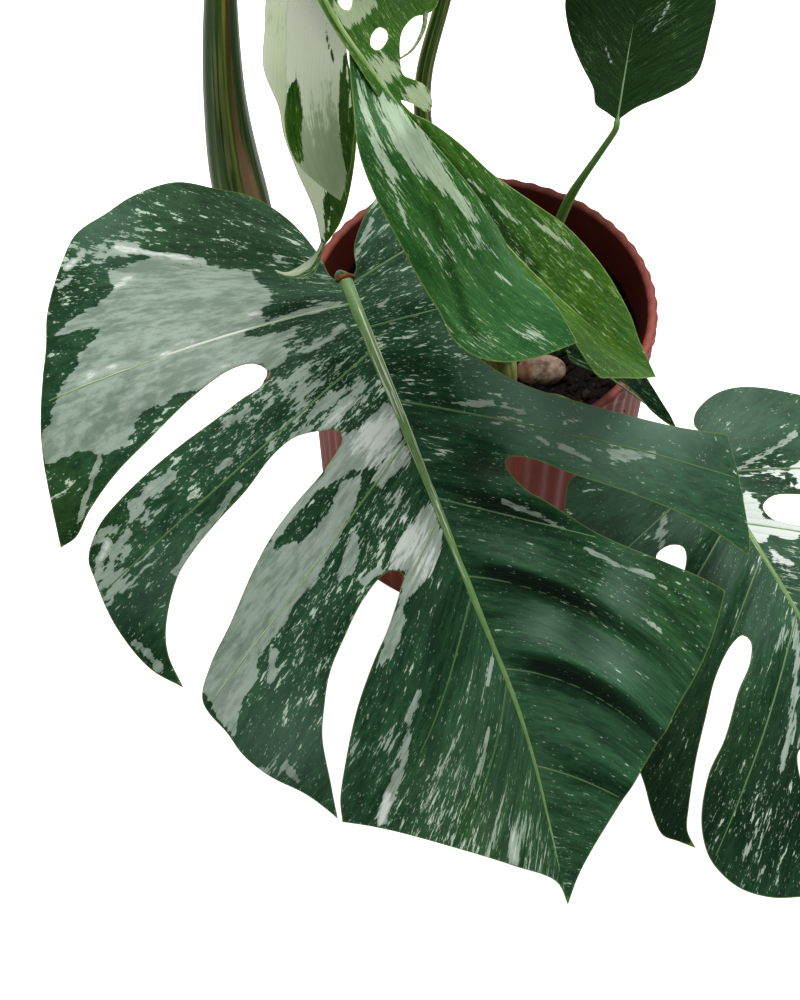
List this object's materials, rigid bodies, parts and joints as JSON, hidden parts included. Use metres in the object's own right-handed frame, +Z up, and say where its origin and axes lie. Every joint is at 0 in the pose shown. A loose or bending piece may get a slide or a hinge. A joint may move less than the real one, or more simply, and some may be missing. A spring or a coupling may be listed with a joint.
{
  "type": "potted variegated monstera",
  "caption": "Potted split-leaf house plant with white-marbled green leaves on arching stalks, in a fluted red-brown plastic pot.",
  "frame": {"origin": "centre of the pot's flat underside", "axes": "+Z up; +Y to the back of the plant, away from the big front leaf; +X to the side of the low right-hand leaf"},
  "size_m": [0.5421, 0.7021, 0.5123],
  "materials": {
    "pot": "matte fluted plastic",
    "soil": "crumbly potting mix",
    "pebble": "smooth dull stone",
    "stem": "waxy striped stem",
    "petiole": "waxy striped stalk",
    "leaf": "satin leaf, green with white marbling",
    "leaf_light": "satin young leaf, light green with white marbling"
  },
  "bodies": {
    "root": {"pot": "pot", "soil": "soil", "pebble": "pebble", "stem": "stem", "petiole_a": "petiole", "petiole_b": "petiole", "petiole_c": "petiole", "petiole_e": "petiole", "petiole_g": "petiole", "petiole_h": "petiole", "blade_a": "leaf", "blade_b": "leaf", "blade_c": "leaf_light", "blade_e": "leaf", "blade_g": "leaf", "blade_h": "leaf"}
  },
  "joints": []
}
